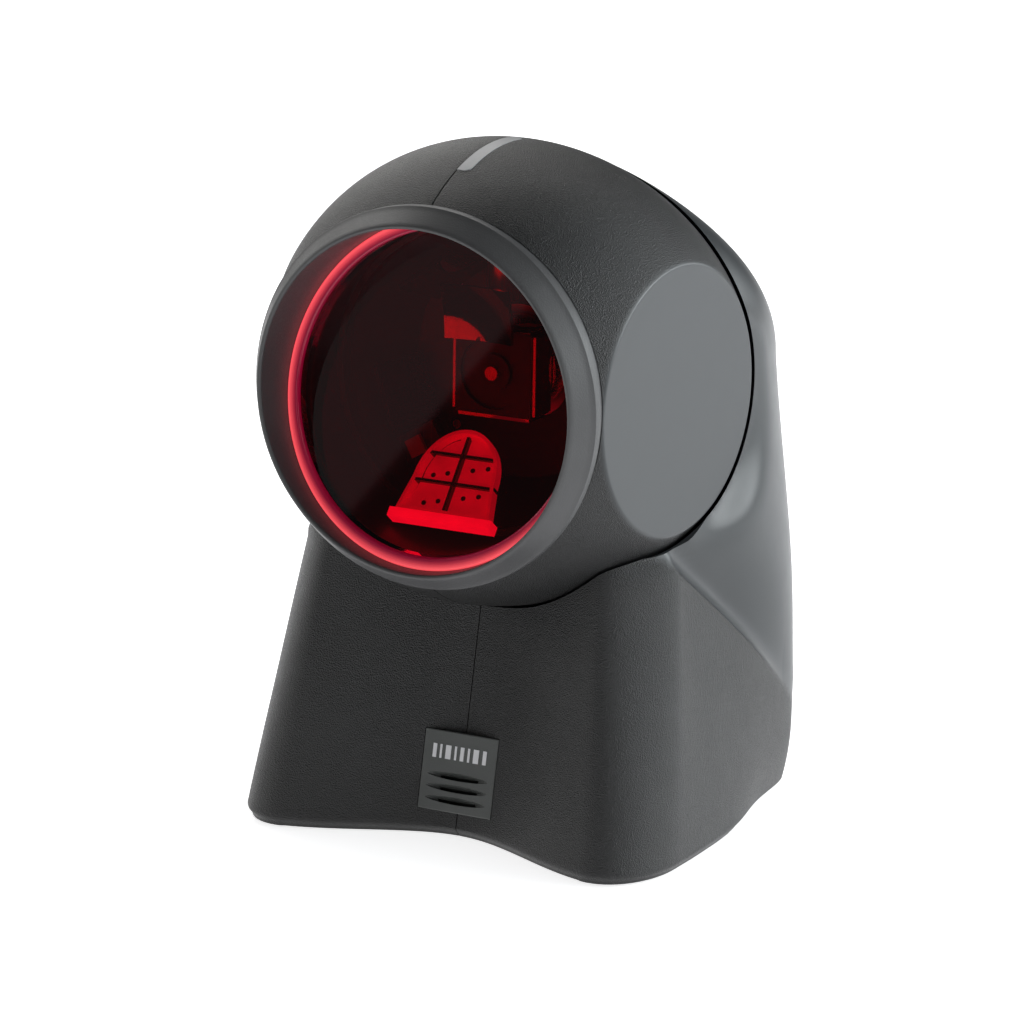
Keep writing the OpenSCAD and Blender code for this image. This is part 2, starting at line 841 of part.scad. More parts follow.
module base_plate() {
    color("dimgray")
        difference() {
            union() {
                translate([0, 0, plate_bottom])
                    linear_extrude(plate_t) polygon(full_outline(lip_h, stand_wall + lip_in + 0.3));
                for (p = insert_places)
                    translate([p[0], p[1], plate_top]) cylinder(r = insert_r + 1.8, h = insert_l - plate_t);
                for (p = pcb_screw_places)
                    translate([p[0], p[1], plate_top]) cylinder(r = 2.6, h = pcb_z - plate_top, $fn = 32);
            }
            for (p = insert_places)
                translate([p[0], p[1], -1]) cylinder(r = insert_r, h = 20);
            for (p = foot_places)
                translate([p[0], p[1], -1]) cylinder(r = foot_r, h = plate_bottom + 1.8);
            for (p = pcb_screw_places)
                translate([p[0], p[1], plate_top]) cylinder(r = 1, h = 20, $fn = 24);
            for (p = post_places) {
                translate([p[0], p[1], -1]) cylinder(r = 1.5, h = 10, $fn = 24);
                translate([p[0], p[1], -1]) cylinder(r = 3, h = plate_bottom + 2.4, $fn = 32);
            }
            both_sides()
                for (p = plate_screw_places) {
                    translate([p[0], p[1], -1]) cylinder(r = 1.25, h = 10, $fn = 24);
                    translate([p[0], p[1], -1]) cylinder(r = 2.5, h = plate_bottom + 2.2, $fn = 32);
                }
        }
}

module rubber_feet() {
    color("black")
        for (p = foot_places)
            translate([p[0], p[1], 0])
                rotate_extrude()
                    polygon([[0, 0], [foot_r - 0.8, 0], [foot_r - 0.3, 0.4], [foot_r - 0.3, plate_bottom],
                             [foot_r, plate_bottom], [foot_r, plate_bottom + 0.8], [0, plate_bottom + 0.8]]);
}

module ballast_weight() {
    color("slategray")
        translate([0, 0, plate_top])
            difference() {
                linear_extrude(ballast_t)
                    polygon([[-30, 3], [30, 3], [34, 7], [34, 26], [26, 34.5], [-26, 34.5], [-34, 26], [-34, 7]]);
                for (p = post_places) translate([p[0], p[1], -1]) cylinder(r = 1.5, h = 10, $fn = 24);
            }
}

module threaded_inserts() {
    color("goldenrod")
        for (p = insert_places)
            translate([p[0], p[1], plate_bottom]) tube(insert_r, insert_bore_r, insert_l);
}

module base_plate_screws() {
    color("silver")
        both_sides()
            for (p = plate_screw_places)
                translate([p[0], p[1], plate_bottom + 1.2]) screw(1.25, 9, 2.3, 1);
}

module interface_board() {
    color("darkgreen")
        translate([0, 0, pcb_z])
            difference() {
                translate([-pcb_x, pcb_y[0], 0]) cube([2 * pcb_x, pcb_y[1] - pcb_y[0], pcb_t]);
                for (p = pcb_screw_places) translate([p[0], p[1], -1]) cylinder(r = 1, h = 5, $fn = 24);
            }
}

module interface_chips() {
    color("black")
        for (c = [[-8, -4, 9, 9], [6, -8, 6, 5], [6, -1, 5, 4], [-9, -12, 6, 4]])
            translate([c[0] - c[2] / 2, c[1] - c[3] / 2, pcb_z + pcb_t]) cube([c[2], c[3], 1.4]);
}

module board_screws() {
    color("silver")
        for (p = pcb_screw_places)
            translate([p[0], p[1], pcb_z + pcb_t]) rotate([180, 0, 0]) screw(1, 6, 1.9, 1.2);
}

module modular_jack() {
    cavity_w = 11.8;
    cavity_h = 8;
    color("black")
        difference() {
            translate([-jack_w / 2, jack_face_y - jack_l, jack_z]) cube([jack_w, jack_l, jack_h]);
            translate([-cavity_w / 2, jack_face_y - 12, jack_z + 2]) cube([cavity_w, 20, cavity_h]);
            translate([-3, jack_face_y - 12, jack_z + 1]) cube([6, 20, 2]);
        }
}

module jack_contacts() {
    contact_count = 10;
    color("gold")
        for (i = [0 : contact_count - 1])
            translate([(i - (contact_count - 1) / 2) * 1.02 - 0.2, jack_face_y - 11.9, jack_z + 9.3])
                cube([0.4, 9, 0.7]);
}

// ---------------------------------------------------------------- badge and speaker

badge_w = 18;
badge_h = 17.4;
badge_bottom = 6;
badge_lean = atan(0.21);
badge_out = 1.9;

// Origin at the bottom middle of the badge's back, +Z out of the panel, +Y up along it.
module on_panel() {
    translate([0, head_y + front_mid(badge_bottom - foot_gap), badge_bottom])
        rotate([90 - badge_lean, 0, 0]) children();
}

badge_sunk = 1;

module badge_pocket() {
    on_panel() translate([-badge_w / 2 - 0.1, -0.1, -badge_sunk]) cube([badge_w + 0.2, badge_h + 0.2, 10]);
}

slot_pitch = 2.6;
slot_w = 15;
slot_h = 1.5;

module speaker_badge() {
    color("dimgray")
        on_panel()
            difference() {
                translate([-badge_w / 2, 0, -badge_sunk]) cube([badge_w, badge_h, badge_out + badge_sunk]);
                for (i = [0 : 2])
                    translate([0, 2.4 + slot_pitch * i, -2]) {
                        translate([-slot_w / 2 + slot_h / 2, -slot_h / 2, 0]) cube([slot_w - slot_h, slot_h, 9]);
                        for (x = [-1, 1])
                            translate([x * (slot_w - slot_h) / 2, 0, 0]) cylinder(r = slot_h / 2, h = 9, $fn = 24);
                    }
            }
}

// A generic barcode-like row, as [from, width] across the badge.
bars = [[-6.6, 0.9], [-4.9, 0.5], [-3.5, 1.3], [-1.3, 0.5], [0.1, 0.9], [1.9, 0.5], [3.3, 1.3], [5.6, 0.9]];

module badge_bars() {
    color("white")
        on_panel()
            for (bar = bars)
                translate([bar[0], 11.4, badge_out]) cube([bar[1], 3, 0.12]);
}

speaker_r = 8.6;

module speaker_place() { translate([0, -22.3, sound_hole_z]) rotate([-90, 0, 0]) children(); }

module speaker_gasket() { color("black") speaker_place() tube(speaker_r, 6.6, 1.2); }

module speaker_frame() {
    color("silver")
        speaker_place()
            translate([0, 0, 1.2])
                difference() {
                    cylinder(r = speaker_r, h = 4);
                    translate([0, 0, -1]) cylinder(r = 7, h = 3.6);
                }
}

module speaker_cone() {
    color("beige")
        speaker_place()
            translate([0, 0, 1.6])
                rotate_extrude()
                    polygon([[0, 0.8], [3, 1.2], [6.9, 0], [6.9, 0.3], [3, 1.6], [0, 1.2]]);
}

// ---------------------------------------------------------------- the parts

stand_shell_left();
stand_shell_right();
base_plate();
rubber_feet();
ballast_weight();
neck_frame();
neck_screws();
tilt_bracket();
bracket_screws();
pivot_pins();
friction_washers();
speaker_badge();
badge_bars();
speaker_gasket();
speaker_frame();
speaker_cone();
interface_board();
interface_chips();
board_screws();
modular_jack();
jack_contacts();
threaded_inserts();
base_plate_screws();
stand_screws();
head_shell_left();
head_shell_right();
head_screws();
pivot_bushes();
window_bezel();
window();
light_pipe();
indicator_board();
indicator_leds();
optics_chassis();
pattern_mirrors();
ribbed_mirror_holder();
holder_ledge();
collector_mirror();
laser_barrel();
laser_lens();
detector_board();
detector_filter();
main_board();
main_board_chips();
cable_connector();
chassis_screws();
motor_base();
motor_stator();
motor_bearing();
rotor_cup();
mirror_wheel();
wheel_mirrors();
motor_shaft();
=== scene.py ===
"""A presentation barcode scanner: the looks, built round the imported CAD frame.

Lengths are in millimetres until mesh_object() turns them into metres.  The stand's and the head's
outlines follow the same formulas as the CAD model, at a finer pitch.
"""

import json
import math

import bmesh
import bpy
from mathutils import Matrix, Vector


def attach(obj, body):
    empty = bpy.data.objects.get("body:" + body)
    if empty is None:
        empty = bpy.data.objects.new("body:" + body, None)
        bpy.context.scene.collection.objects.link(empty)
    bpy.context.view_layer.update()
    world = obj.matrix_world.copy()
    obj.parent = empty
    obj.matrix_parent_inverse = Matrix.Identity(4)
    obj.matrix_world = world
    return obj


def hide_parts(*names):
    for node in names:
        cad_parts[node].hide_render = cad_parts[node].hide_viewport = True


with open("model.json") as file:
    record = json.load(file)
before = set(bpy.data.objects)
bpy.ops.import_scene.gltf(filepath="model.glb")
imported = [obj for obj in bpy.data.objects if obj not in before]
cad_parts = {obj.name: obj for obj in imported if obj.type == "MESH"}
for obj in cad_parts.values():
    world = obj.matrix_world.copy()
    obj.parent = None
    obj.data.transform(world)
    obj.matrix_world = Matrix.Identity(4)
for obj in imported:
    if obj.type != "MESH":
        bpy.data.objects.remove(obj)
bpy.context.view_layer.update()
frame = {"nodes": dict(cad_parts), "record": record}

MM = 0.001

joints = {joint["name"]: joint for joint in frame["record"]["behaviour"]["joints"]}
HEAD_Y, HEAD_Z = (value / MM for value in joints["head_tilt"]["pos_m"][1:])

# Head
BALL_R = 50.05
BALL_HALF_L = 53.1
BALL_TAPER = 0.0023  # how much wider the ball gets for each millimetre towards the back
SIDE_DROOP = 1.3  # how much lower the discs sit than the middle of the ball
DISC_X = 43.4
DISC_R = BALL_R * math.sqrt(1 - (DISC_X / BALL_HALF_L) ** 2)
HEAD_WALL = 2.4
TILT = 15
NECK_ANGLE = 32
NECK_HALF_W = 9.6
SEAM = 0.2
BALL_ROOM = 0.6

# Window and bezel
BEZEL_R = 40.6
BORE_R = 36.4
LIP_OUT = 37.5
WINDOW_OUT = 25
WINDOW_LEAN = 12
WINDOW_T = 2
RIM_W = 2.7
RIM_H = 1.2

# Stand
TOE_X = 52.4
BACK_Y = 64.5
STAND_WALL = 2.6
FOOT_GAP = 0.6
LIP_H = 2
LIP_IN = 1.5
COLUMN_W = 48.3
COLUMN_D = 61
DOME_H = 48
FRONT_TOP = 66
PANEL_LEAN = 0.21
RIDGE_TOP = 61
RIDGE_SLOPE = 0.78
SKIRT_H = 75  # below the pivot axis, how far down the column goes on widening
BACK_FROM = 0.72  # the share of the column's depth where its rounded back corner begins


# ---------------------------------------------------------------- small mathematics

def clamp01(t):
    return max(0.0, min(1.0, t))


def smooth(t):
    s = clamp01(t)
    return s * s * (3 - 2 * s)


def mix(a, b, t):
    return a + (b - a) * t


def bezier(a, b, c, d, t):
    s = 1 - t
    return tuple(
        s ** 3 * a[i] + 3 * s * s * t * b[i] + 3 * s * t * t * c[i] + t ** 3 * d[i] for i in range(len(a))
    )


def arc(cx, cy, r, start, end, steps):
    """Points on an arc, angles in degrees."""
    points = []
    for k in range(steps + 1):
        a = math.radians(mix(start, end, k / steps))
        points.append((cx + r * math.cos(a), cy + r * math.sin(a)))
    return points


# ---------------------------------------------------------------- mesh helpers

def mesh_object(name, verts, faces, place=None, sharp=35):
    """A new object from points in millimetres, moved by place, with edges over sharp degrees kept crisp."""
    mesh = bpy.data.meshes.new(name)
    place = place or Matrix()
    mesh.from_pydata([place @ Vector(v) * MM for v in verts], [], faces)
    mesh.validate()
    obj = bpy.data.objects.new(name, mesh)
    bpy.context.scene.collection.objects.link(obj)
    tidy_normals(obj, sharp)
    return obj


def tidy_normals(obj, sharp=35):
    """Faces turned outward, smooth shading, and edges over sharp degrees kept crisp."""
    bm = bmesh.new()
    bm.from_mesh(obj.data)
    bmesh.ops.recalc_face_normals(bm, faces=bm.faces)
    for face in bm.faces:
        face.smooth = True
    limit = math.radians(sharp)
    for edge in bm.edges:
        edge.smooth = len(edge.link_faces) == 2 and edge.calc_face_angle(0) < limit
    bm.to_mesh(obj.data)
    bm.free()


def at_head():
    return Matrix.Translation((0, HEAD_Y, HEAD_Z))


def facing_front():
    """+Z of the piece turns to the way the window faces, with +Y up."""
    return at_head() @ Matrix.Rotation(math.radians(90), 4, "X")


def along_neck():
    return at_head() @ Matrix.Rotation(math.radians(NECK_ANGLE), 4, "X")


def ring_faces(rings, around, closed_rings=False):
    """Quads between neighbouring rings of points; around points each, joined round."""
    faces = []
    for k in range(rings if closed_rings else rings - 1):
        for i in range(around):
            j = (i + 1) % around
            a, b = k * around, (k + 1) % rings * around
            faces.append((a + i, b + i, b + j, a + j))
    return faces


def loft(rings):
    """Points and faces of a solid through rings of equal length, closed at both ends."""
    around = len(rings[0])
    verts = [p for ring in rings for p in ring]
    faces = ring_faces(len(rings), around)
    faces.append(tuple(range(around)))
    faces.append(tuple(range(len(verts) - 1, len(verts) - 1 - around, -1)))
    return verts, faces


def lathe(profile, around):
    """Points and faces of a closed profile of (radius, height) turned about Z."""
    verts = []
    for r, z in profile:
        for i in range(around):
            a = 2 * math.pi * i / around
            verts.append((r * math.cos(a), r * math.sin(a), z))
    return verts, ring_faces(len(profile), around, True)


def prism(outline, low, high):
    """Points and faces of an outline in XY, extruded along Z."""
    return loft([[(x, y, z) for x, y in outline] for z in (low, high)])


def box(low, high):
    (x0, y0, z0), (x1, y1, z1) = low, high
    return prism([(x0, y0), (x1, y0), (x1, y1), (x0, y1)], z0, z1)


def cylinder(r, low, high, around=96):
    return prism([(r * math.cos(2 * math.pi * i / around), r * math.sin(2 * math.pi * i / around))
                  for i in range(around)], low, high)


X_AXIS = Matrix.Rotation(math.radians(90), 4, "Y")
MIRROR_X = Matrix.Scale(-1, 4, (1, 0, 0))
SIDEWAYS = Matrix(((0, 0, 1, 0), (1, 0, 0, 0), (0, 1, 0, 0), (0, 0, 0, 1)))


def boolean(obj, cutter, operation="DIFFERENCE"):
    """Applies one boolean to obj and throws the cutter away."""
    modifier = obj.modifiers.new("cut", "BOOLEAN")
    modifier.operation = operation
    modifier.object = cutter
    modifier.solver = "MANIFOLD"
    apply_modifiers(obj)
    bpy.data.objects.remove(cutter)


def apply_modifiers(obj):
    depsgraph = bpy.context.evaluated_depsgraph_get()
    mesh = bpy.data.meshes.new_from_object(obj.evaluated_get(depsgraph))
    obj.modifiers.clear()
    obj.data = mesh


def cut_with(obj, shape, place=None, operation="DIFFERENCE"):
    boolean(obj, mesh_object("cutter", *shape, place), operation)


def paint(obj, name, value):
    """Stores value(x, y, z), in millimetres from the origin, on each corner point of the mesh."""
    layer = obj.data.attributes.new(name, "FLOAT", "POINT")
    layer.data.foreach_set("value", [value(*(v.co / MM)) for v in obj.data.vertices])


# ---------------------------------------------------------------- node helpers

class Tree:
    """Builds one material's nodes."""

    def __init__(self, name):
        self.material = bpy.data.materials.new(name)
        self.material.use_nodes = True
        self.nodes = self.material.node_tree.nodes
        self.links = self.material.node_tree.links
        self.nodes.clear()
        self.output = self.nodes.new("ShaderNodeOutputMaterial")
        self.coords = self.nodes.new("ShaderNodeTexCoord")

    def node(self, kind, inputs=None, **settings):
        made = self.nodes.new("ShaderNode" + kind)
        for key, value in settings.items():
            setattr(made, key, value)
        for key, value in (inputs or {}).items():
            self.set(made.inputs[key], value)
        return made

    def set(self, socket, value):
        if isinstance(value, bpy.types.NodeSocket):
            self.links.new(value, socket)
        else:
            socket.default_value = value

    def principled(self, **inputs):
        shader = self.node("BsdfPrincipled", {key.replace("_", " "): v for key, v in inputs.items()})
        self.links.new(shader.outputs[0], self.output.inputs["Surface"])
        return shader

    def noise(self, scale, detail=3.0, roughness=0.5, vector=None):
        made = self.node("TexNoise", {"Scale": scale, "Detail": detail, "Roughness": roughness})
        self.links.new(vector or self.coords.outputs["Object"], made.inputs["Vector"])
        return made.outputs["Fac"]

    def ramp(self, fac, *stops):
        """Colour ramp with (position, grey or colour) stops."""
        made = self.node("ValToRGB", {"Fac": fac})
        elements = made.color_ramp.elements
        while len(elements) < len(stops):
            elements.new(0.5)
        for element, (position, colour) in zip(elements, stops):
            element.position = position
            if not isinstance(colour, tuple):
                colour = (colour, colour, colour)
            element.color = (*colour, 1)
        return made.outputs["Color"]

    def math(self, operation, a, b=0.0):
        made = self.node("Math", operation=operation)
        self.set(made.inputs[0], a)
        self.set(made.inputs[1], b)
        return made.outputs[0]

    def map_range(self, value, low, high):
        made = self.node("MapRange", {"Value": value, "To Min": low, "To Max": high})
        return made.outputs["Result"]

    def blend(self, fac, a, b):
        made = self.node("Mix", data_type="RGBA")
        self.set(made.inputs["Factor"], fac)
        self.set(made.inputs[6], a)
        self.set(made.inputs[7], b)
        return made.outputs[2]

    def attribute(self, name):
        return self.node("Attribute", attribute_name=name).outputs["Fac"]

    def bump(self, height, strength, distance=0.00005):
        made = self.node("Bump", {"Height": height, "Strength": strength, "Distance": distance})
        return made.outputs["Normal"]


def grey(value):
    return (value, value, value * 1.03, 1)


def plastic_material(name, dark, light, rough, grain_scale, grain_depth, smooth_sheen_tone=None):
    """Moulded plastic: a fine spark-eroded grain, faint mottling and slightly uneven gloss.

    With a tone for the smooth parts, the mesh's grain attribute says where the grain is, and the rest has
    that tone: their own smooth finish, made lighter and bluer as painted sheen from the cool soft boxes.
    """
    t = Tree(name)
    cells = t.node("TexVoronoi", {"Scale": grain_scale, "Randomness": 1.0})
    t.links.new(t.coords.outputs["Object"], cells.inputs["Vector"])
    fine = t.noise(grain_scale * 1.7, 2.0)
    height = t.math("ADD", cells.outputs["Distance"], fine)
    sparkle = t.map_range(t.noise(grain_scale * 0.9, 1.0), -0.14, 0.14)
    rougher = t.math("ADD", sparkle, 0.08)
    mottle = t.noise(60, 4.0)
    colour = t.blend(t.ramp(mottle, (0.35, 0), (0.65, 1)), dark, light)
    if smooth_sheen_tone:
        amount = t.attribute("grain")
        # Painted sheen: the smooth parts take the lighter, bluer tone.
        colour = t.blend(amount, smooth_sheen_tone, colour)
        rougher = t.math("MULTIPLY", amount, rougher)
        grain_depth = t.math("MULTIPLY", amount, grain_depth)
    gloss = t.math("ADD", t.map_range(t.noise(220, 3.0), rough - 0.04, rough + 0.04), rougher)
    t.principled(
        Base_Color=colour,
        Roughness=gloss,
        Normal=t.bump(height, grain_depth, 0.00013),
        Specular_IOR_Level=0.5,
    )
    return t.material


def metal_material(name, colour, rough, streak=(1, 1, 1)):
    """Metal with fine drawn or rolled streaks along one axis."""
    t = Tree(name)
    mapping = t.node("Mapping", {"Scale": streak})
    t.links.new(t.coords.outputs["Object"], mapping.inputs["Vector"])
    lines = t.noise(900, 4.0, 0.6, mapping.outputs["Vector"])
    tint = t.blend(lines, tuple(0.8 * c for c in colour) + (1,), tuple(colour) + (1,))
    t.principled(
        Base_Color=tint,
        Metallic=1.0,
        Roughness=t.map_range(lines, rough - 0.08, rough + 0.1),
        Normal=t.bump(lines, 0.15),
    )
    return t.material


def mirror_material():
    t = Tree("shade_dimmed_front_silvered_mirror")
    haze = t.noise(300, 3.0)
    # Painted shade: the silvering is darkened far below a real mirror's, for the dim light inside the head.
    t.principled(Base_Color=t.blend(haze, grey(0.3), grey(0.36)), Metallic=1.0,
                 Roughness=t.map_range(haze, 0.02, 0.08))
    return t.material


def red_plastic_material(name, tone, glow):
    """Red plastic behind the window with moulded flow marks, and a painted glow of its own colour, as strong
    as glow, standing in for the red light that falls on it there.
    """
    t = Tree(name)
    flow = t.noise(140, 4.0)
    dark, light = ((value * tone, 0.06 * value * tone, 0.28 * value * tone, 1) for value in (0.7, 1.0))
    colour = t.blend(t.ramp(flow, (0.3, 0), (0.7, 1)), dark, light)
    # Painted glow: emission of the plastic's own colour stands in for the light falling on it.
    t.principled(Base_Color=colour, Roughness=t.map_range(flow, 0.25, 0.42), Normal=t.bump(flow, 0.2),
                 Emission_Color=colour, Emission_Strength=glow)
    return t.material


def board_material():
    """Green solder mask over faint copper tracks."""
    t = Tree("circuit_board")
    tracks = t.node("TexBrick", {"Scale": 260.0, "Mortar Size": 0.03, "Color1": (0.004, 0.06, 0.025, 1),
                                 "Color2": (0.008, 0.085, 0.035, 1), "Mortar": (0.03, 0.16, 0.06, 1)})
    t.links.new(t.coords.outputs["Object"], tracks.inputs["Vector"])
    t.principled(Base_Color=tracks.outputs["Color"], Roughness=t.map_range(t.noise(500), 0.22, 0.4),
                 Normal=t.bump(tracks.outputs["Fac"], 0.2))
    return t.material


def rubber_material(name="rubber"):
    t = Tree(name)
    dust = t.noise(500, 5.0)
    t.principled(Base_Color=t.blend(dust, grey(0.012), grey(0.03)), Roughness=t.map_range(dust, 0.75, 0.95),
                 Normal=t.bump(dust, 0.5))
    return t.material


def pane_material():
    """Thin red-dyed acrylic: it filters what is seen through it and mirrors the room off its face."""
    t = Tree("red_window")
    smear = t.noise(25, 2.0)
    tint = t.blend(smear, (0.9, 0.06, 0.2, 1), (0.97, 0.09, 0.26, 1))
    clear = t.node("BsdfTransparent", {"Color": tint})
    gloss = t.node("BsdfGlossy", {"Color": (1, 1, 1, 1), "Roughness": t.map_range(smear, 0.015, 0.04)})
    fresnel = t.node("Fresnel", {"IOR": 1.5})
    mixed = t.node("MixShader", {0: fresnel.outputs[0], 1: clear.outputs[0], 2: gloss.outputs[0]})
    t.links.new(mixed.outputs[0], t.output.inputs["Surface"])
    return t.material


def rim_material():
    """The pane's thick moulded rim, with a painted red glow standing in for the light it gathers: lighter and
    glowing most along its outer lip.
    """
    t = Tree("red_window_rim")
    flow = t.noise(90, 3.0)
    lip = t.attribute("lip")
    deep = t.blend(flow, (0.3, 0.003, 0.03, 1), (0.42, 0.006, 0.05, 1))
    # Painted glow: the outer lip is lighter and glows more than the deeper red inside.
    colour = t.blend(lip, deep, (0.95, 0.09, 0.11, 1))
    t.principled(Base_Color=colour, Roughness=t.map_range(flow, 0.15, 0.3), Emission_Color=colour,
                 Emission_Strength=t.map_range(lip, 0.15, 0.85))
    return t.material


def light_pipe_material():
    t = Tree("frosted_light_pipe")
    frost = t.noise(700, 3.0)
    t.principled(Base_Color=t.blend(frost, grey(0.33), grey(0.42)), Roughness=t.map_range(frost, 0.3, 0.45),
                 Normal=t.bump(frost, 0.2))
    return t.material


def plain_material(name, dark, light, rough, scale=400.0):
    """Any other moulded or cast part: two close shades and a little unevenness."""
    t = Tree(name)
    speck = t.noise(scale, 4.0)
    t.principled(Base_Color=t.blend(speck, dark, light), Normal=t.bump(speck, 0.25),
                 Roughness=t.map_range(speck, rough - 0.07, rough + 0.07))
    return t.material


def clear_material():
    t = Tree("clear_lens")
    speck = t.noise(300)
    t.principled(Base_Color=t.blend(speck, grey(0.85), grey(0.95)), Roughness=t.map_range(speck, 0.03, 0.08),
                 Transmission_Weight=0.9, IOR=1.49)
    return t.material


# ---------------------------------------------------------------- shape of the stand

def front_mid(h):
    """y of the front panel at its seam."""
    return -16 + PANEL_LEAN * max(0, h - LIP_H)


def crease(h):
    """x and y of the crease where the front panel turns into the toe."""
    return 37.4 - 0.085 * h, -29.6 + 0.236 * h


def panel_rise(t):
    """How far the panel has come forward, t of the way from its seam to the crease."""
    swell = (1 - math.cos(math.pi * t)) / 2
    knee = (math.sqrt(t * t + 0.0625) - 0.25) / 0.7808
    return 0.5 * (swell + knee)


def column_x(h):
    """Half-width of the column: a dome above the pivot axis, a slowly widening skirt below."""
    z = h - HEAD_Z
    if z < 0:
        return COLUMN_W + 5.4 * clamp01(-z / SKIRT_H)
    return COLUMN_W * math.sqrt(max(0, 1 - (z / DOME_H) ** 2.15))


def column_y(h):
    """Depth of the column behind the pivot axis."""
    z = h - HEAD_Z
    if z < 0:
        return mix(COLUMN_D, BACK_Y, clamp01(-z / SKIRT_H))
    return COLUMN_D * math.sqrt(max(0, 1 - (z / DOME_H) ** 2))


def squareness(h):
    """Exponent of the column's rounded section: 2 is an ellipse, 4 nearly a square."""
    z = h - HEAD_Z
    return 4 + 0.6 * smooth(-z / 50) if z < 0 else 4 - 2 * smooth(z / 45)


def column_side(y, h):
    n = squareness(h)
    return column_x(h) * max(0, 1 - clamp01(y / column_y(h)) ** n) ** (1 / n)


def soft_min(a, b):
    """The smaller of two widths, rounded over where they meet."""
    return (max(a, 0.01) ** -30 + max(b, 0.01) ** -30) ** (-1 / 30)


def wing_side(y, h):
    """Half-width of the flared wing below the ridge."""
    foot_x = TOE_X - 0.9 * smooth((y + 5) / 25) - 4.4 * smooth((y - 8) / 46)
    lean = mix(0.12, -0.04, smooth((y + 2) / 50))
    return soft_min(foot_x - lean * h, column_side(y, h))


def ridge_h(y):
    """Height of the slanting ridge between the wing and the hood."""
    return RIDGE_TOP - RIDGE_SLOPE * y


def shelf(y):
    """How far the hood steps in above the ridge."""
    return 4 * smooth((52 - y) / 36)


def droop(x):
    """How much lower than the pivot axis the ball's section sits, x out from the middle."""
    return SIDE_DROOP * (min(x, DISC_X) / DISC_X) ** 2


def disc_plane(y):
    """Half-width of the head at its flat disc, y forward or back of the pivot axis."""
    return DISC_X * (1 + BALL_TAPER * y)


def disc_dip(y, h, x):
    """How far the hood dips beside the head's disc, until it is flush with it."""
    beyond = math.hypot(y, h + FOOT_GAP - HEAD_Z + SIDE_DROOP) - DISC_R
    return max(0, x - disc_plane(y)) * math.exp(-(max(0, beyond) / 6) ** 2) * smooth(y / 8)


def foot_tuck(y, h):
    """How far the foot's rear corners tuck in."""
    return 2.2 * smooth((y - 15) / 25) * (1 - clamp01(h / 16)) ** 2


def hood_side(y, h):
    """Half-width above the ridge: a shelf steps in from the wing, and the hood's column rises from it."""
    top = ridge_h(y)
    over = h - top
    gap = column_side(y, top) - wing_side(y, top)
    step_in = (1 - (1 - clamp01(over / 7)) ** 2) * math.exp(-(over / 20) ** 2)
    return column_side(y, h) - gap * math.exp(-(over / 16) ** 2) - shelf(y) * step_in


def side_x(y, h):
    """Half-width of the stand: the flared wing up to the ridge, the hood above it."""
    over = h - ridge_h(y)
    x = wing_side(y, h) if over <= 0 else hood_side(y, h)
    return x - disc_dip(y, h, x) * smooth(over / 5) - foot_tuck(y, h)


PANEL_STEPS, TOE_STEPS, WING_STEPS, HOOD_STEPS, BACK_STEPS = 24, 16, 24, 30, 30


def half_outline(h, inset, fine=1):
    """Points from the middle of the front round to the middle of the back, at height h over the foot."""
    low = min(h, FRONT_TOP)
    cut = inset + LIP_IN * (1 - smooth(h / LIP_H))
    c = crease(low)
    rear_y = column_y(h)
    side_from = -11 + 0.17 * low
    side_to = rear_y * BACK_FROM
    side_mid = max(side_from + 2, min(side_to - 2, (RIDGE_TOP - h) / RIDGE_SLOPE))
    toe = (side_x(side_from, h), side_from)
    slope = side_x(side_from + 1, h) - toe[0]
    full = mix(0.58, 0.3, clamp01(h / 64))
    reach = full * (toe[1] - c[1])
    n = squareness(h)
    corner_angle = math.acos(math.sqrt(max(0, 1 - BACK_FROM ** n)))
    points = []
    steps = PANEL_STEPS // fine
    for i in range(steps):
        t = i / steps
        points.append((c[0] * t, mix(front_mid(low), c[1], panel_rise(t)) + cut))
    steps = TOE_STEPS // fine
    for i in range(steps):
        t = i / steps
        start_pull = (c[0] + full * (toe[0] - c[0]), c[1] - 1.2)
        end_pull = (toe[0] - slope * reach, toe[1] - reach)
        x, y = bezier(c, start_pull, end_pull, toe, t)
        turn = math.pi / 2 * (0.25 + 0.75 * t)
        points.append((x - cut * math.sin(turn), y + cut * math.cos(turn)))
    for low_y, high_y, count in ((side_from, side_mid, WING_STEPS), (side_mid, side_to, HOOD_STEPS)):
        steps = count // fine
        for i in range(steps):
            y = mix(low_y, high_y, i / steps)
            points.append((side_x(y, h) - cut, y))
    steps = BACK_STEPS // fine
    for i in range(steps + 1):
        a = mix(corner_angle, math.pi / 2, i / steps)
        y = rear_y * math.sin(a) ** (2 / n)
        turn = math.pi / 2 * i / steps
        x = max(0, side_x(y, h) - cut * math.cos(turn)) if i < steps else 0
        points.append((x, y - cut * math.sin(turn)))
    return points


def column_loft(heights, inset, fine=1):
    rings = []
    for h in heights:
        rings.append([(x, y + HEAD_Y, h + FOOT_GAP) for x, y in half_outline(h, inset, fine)])
    return loft(rings)


def spaced(start, end, step):
    count = max(1, round((end - start) / step))
    return [mix(start, end, i / count) for i in range(count + 1)]


def ball_room(room):
    """The room that the right half of the ball turns in, with a little more behind for its taper."""
    rings = []
    for k in range(61):
        a = math.radians(mix(-5, 86, k / 60))
        r = (BALL_R + room) * math.cos(a)
        flat_x = BALL_HALF_L * math.sin(a)
        ring = []
        for i in range(192):
            b = 2 * math.pi * i / 192
            y = r * math.cos(b)
            x = (BALL_HALF_L * (1 + BALL_TAPER * (y + 2)) + room) * math.sin(a)
            ring.append((x, y, r * math.sin(b) - droop(flat_x)))
        rings.append(ring)
    return loft(rings)


